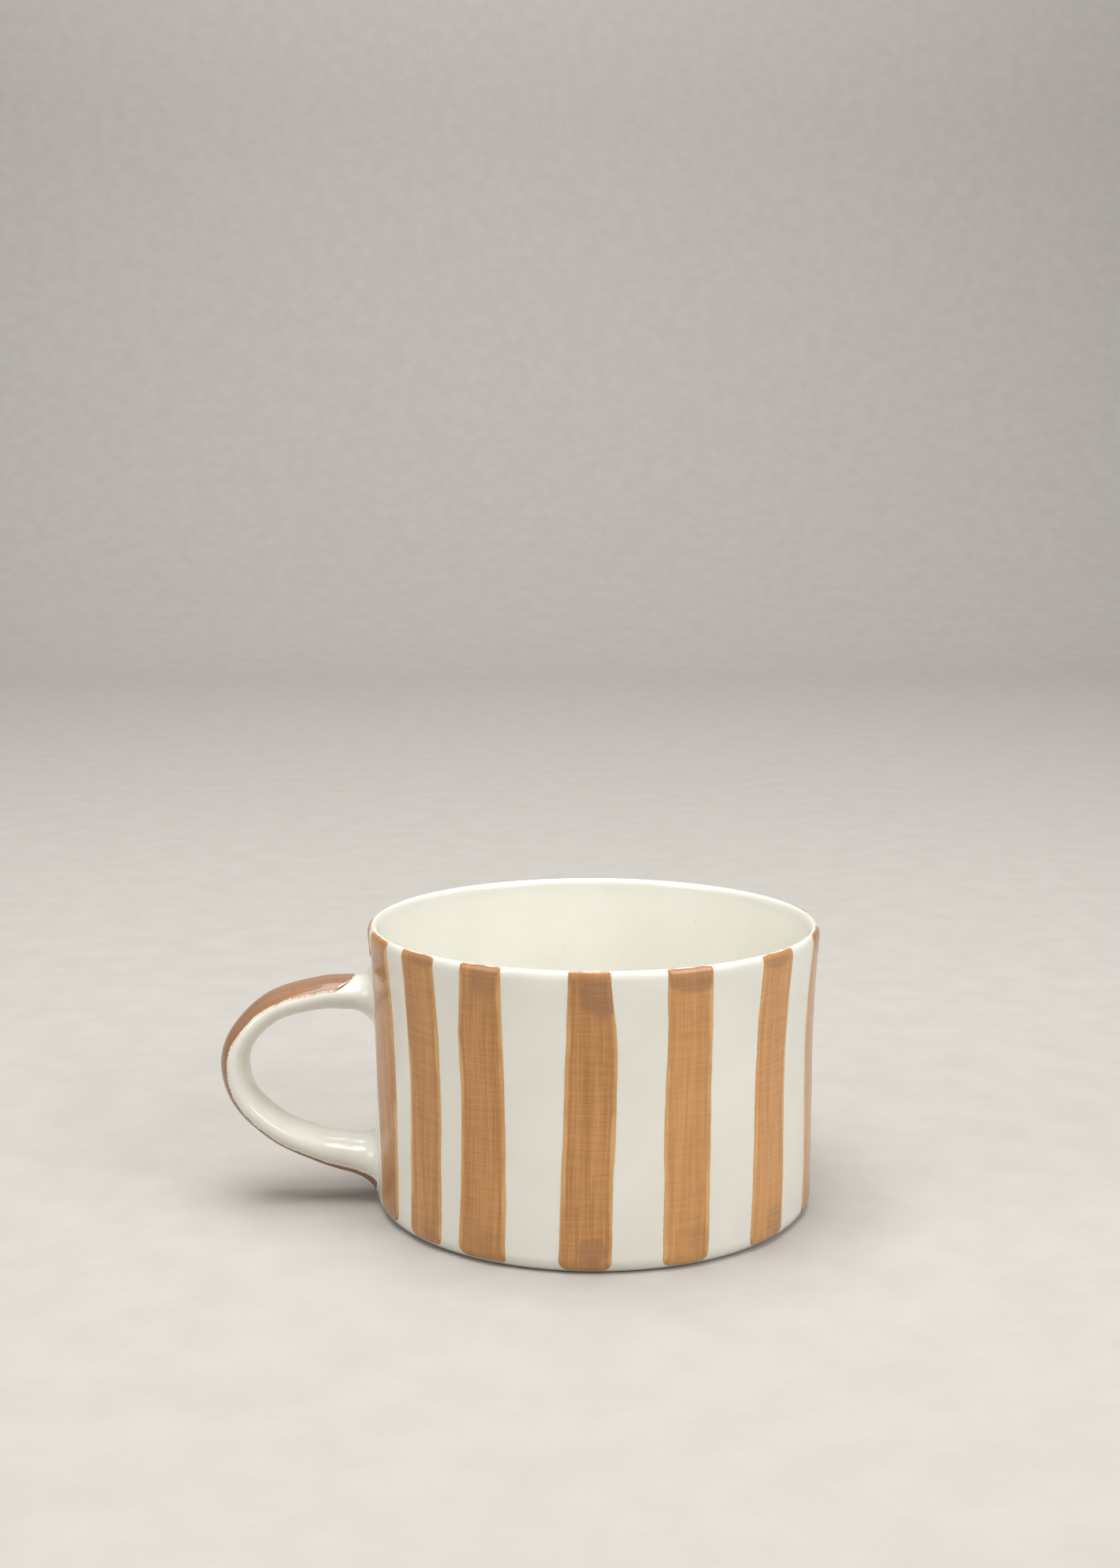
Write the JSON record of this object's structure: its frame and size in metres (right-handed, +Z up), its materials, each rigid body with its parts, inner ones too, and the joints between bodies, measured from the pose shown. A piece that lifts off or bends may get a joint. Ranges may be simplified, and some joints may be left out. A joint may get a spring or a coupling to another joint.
{
  "type": "ceramic mug",
  "caption": "Wide, low ceramic mug with an upright wall that opens out a little at the top, a thin round lip, a D-shaped loop handle and upright brushed stripes in relief.",
  "frame": {"origin": "centre of the flat foot, on the surface the mug stands on", "axes": "+Z up along the cup's axis, -X towards the handle, -Y is the front with the handle on the left"},
  "size_m": [0.1469, 0.1112, 0.0696],
  "materials": {
    "cream_glaze": "clear gloss glaze over cream earthenware, with sparse fine specks",
    "brown_slip": "clear gloss glaze over brushed brown slip, streaked along the stroke and darker where it pooled"
  },
  "bodies": {
    "root": {"cup_body": "cream_glaze", "handle": "cream_glaze", "upper_slip_joint": "cream_glaze", "lower_slip_joint": "cream_glaze", "handle_stripe": "brown_slip", "short_stripe": "brown_slip", "wall_stripe_01": "brown_slip", "wall_stripe_02": "brown_slip", "wall_stripe_03": "brown_slip", "wall_stripe_04": "brown_slip", "wall_stripe_05": "brown_slip", "wall_stripe_06": "brown_slip", "wall_stripe_07": "brown_slip", "wall_stripe_08": "brown_slip", "wall_stripe_09": "brown_slip", "wall_stripe_10": "brown_slip", "wall_stripe_11": "brown_slip", "wall_stripe_12": "brown_slip", "wall_stripe_13": "brown_slip", "wall_stripe_14": "brown_slip"}
  },
  "joints": []
}
